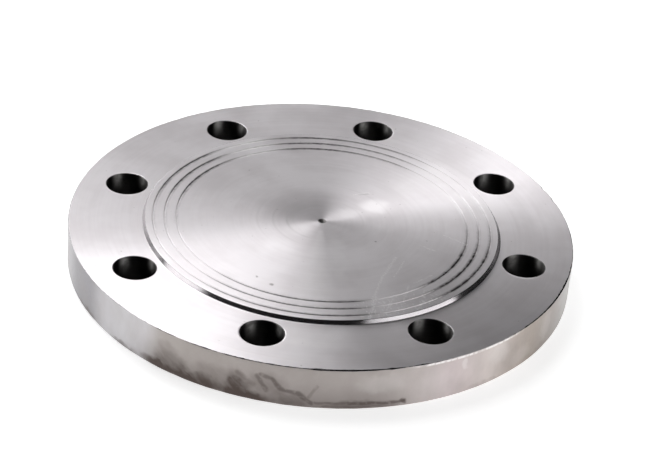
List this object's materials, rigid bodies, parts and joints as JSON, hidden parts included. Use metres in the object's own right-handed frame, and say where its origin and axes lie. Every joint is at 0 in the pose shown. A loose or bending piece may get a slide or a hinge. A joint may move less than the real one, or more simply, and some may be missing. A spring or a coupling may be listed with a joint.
{
  "type": "blind flange",
  "caption": "Round solid steel plate with a low raised sealing face, concentric grooves and a ring of bolt holes, bolted over a pipe end to close it.",
  "frame": {"origin": "centre of the flat back face, which is also the bottom centre of the whole part", "axes": "+Z along the disc's axis, out through the raised sealing face; X and Y each pass midway between two neighbouring bolt holes"},
  "size_m": [0.22, 0.22, 0.0206],
  "materials": {
    "turned_steel": "bare forged carbon steel, lathe-turned faces with a satin sheen, rougher and lightly stained rim"
  },
  "bodies": {
    "root": {"flange_disc": "turned_steel"}
  },
  "joints": []
}
